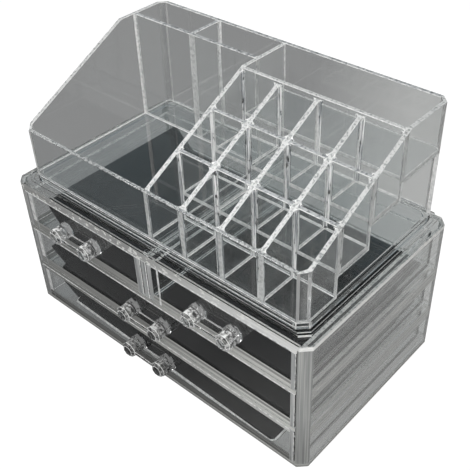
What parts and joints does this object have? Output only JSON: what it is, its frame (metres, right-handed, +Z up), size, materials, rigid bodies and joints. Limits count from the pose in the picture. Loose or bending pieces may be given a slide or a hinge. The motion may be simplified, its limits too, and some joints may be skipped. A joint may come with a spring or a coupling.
{
  "type": "makeup organizer",
  "caption": "Clear plastic makeup organizer: a drawer cabinet with lined drawers and faceted pulls, and a lift-off tray with a stepped lipstick rack, a deep compartment and brush slots.",
  "frame": {"origin": "centre of the overall box at its bottom, on the surface the cabinet stands on", "axes": "+X to the right seen from the front, +Y from the front to the back, +Z up"},
  "size_m": [0.24, 0.1494, 0.18],
  "materials": {
    "clear_plastic": "clear, polished, with bright edges",
    "liner": "soft matte black liner mat"
  },
  "bodies": {
    "cabinet": {"base_panel": "clear_plastic", "left_wall": "clear_plastic", "right_wall": "clear_plastic", "back_panel": "clear_plastic", "top_deck": "clear_plastic", "upper_shelf": "clear_plastic", "lower_shelf": "clear_plastic", "centre_divider": "clear_plastic"},
    "drawer_top_left": {"drawer_top_left_tub": "clear_plastic", "drawer_top_left_pull": "clear_plastic", "drawer_top_left_mat": "liner"},
    "drawer_top_right": {"drawer_top_right_tub": "clear_plastic", "drawer_top_right_pull": "clear_plastic", "drawer_top_right_mat": "liner"},
    "drawer_middle": {"drawer_middle_tub": "clear_plastic", "drawer_middle_pull": "clear_plastic", "drawer_middle_mat": "liner"},
    "drawer_bottom": {"drawer_bottom_tub": "clear_plastic", "drawer_bottom_pull": "clear_plastic", "drawer_bottom_mat": "liner"},
    "top_tray": {"tray_base": "clear_plastic", "tray_left_wall": "clear_plastic", "tray_right_wall": "clear_plastic", "tray_front_wall": "clear_plastic", "tray_back_wall": "clear_plastic", "rack_left_panel": "clear_plastic", "rack_cross_wall_front": "clear_plastic", "rack_cross_wall_rear": "clear_plastic", "rack_rear_wall": "clear_plastic", "rack_divider_left": "clear_plastic", "rack_divider_middle": "clear_plastic", "rack_divider_right": "clear_plastic", "rack_floor_middle": "clear_plastic", "rack_floor_rear": "clear_plastic", "back_box_floor": "clear_plastic", "back_partition": "clear_plastic", "brush_divider": "clear_plastic"}
  },
  "joints": [
    {"name": "drawer_top_left_slide", "type": "slide", "parent": "cabinet", "child": "drawer_top_left", "axis": [0, -1, 0], "range_m": [0, 0.1]},
    {"name": "drawer_top_right_slide", "type": "slide", "parent": "cabinet", "child": "drawer_top_right", "axis": [0, -1, 0], "range_m": [0, 0.1]},
    {"name": "drawer_middle_slide", "type": "slide", "parent": "cabinet", "child": "drawer_middle", "axis": [0, -1, 0], "range_m": [0, 0.1]},
    {"name": "drawer_bottom_slide", "type": "slide", "parent": "cabinet", "child": "drawer_bottom", "axis": [0, -1, 0], "range_m": [0, 0.1]},
    {"name": "tray_lift", "type": "slide", "parent": "cabinet", "child": "top_tray", "axis": [0, 0, 1], "range_m": [0, 0.06]}
  ]
}
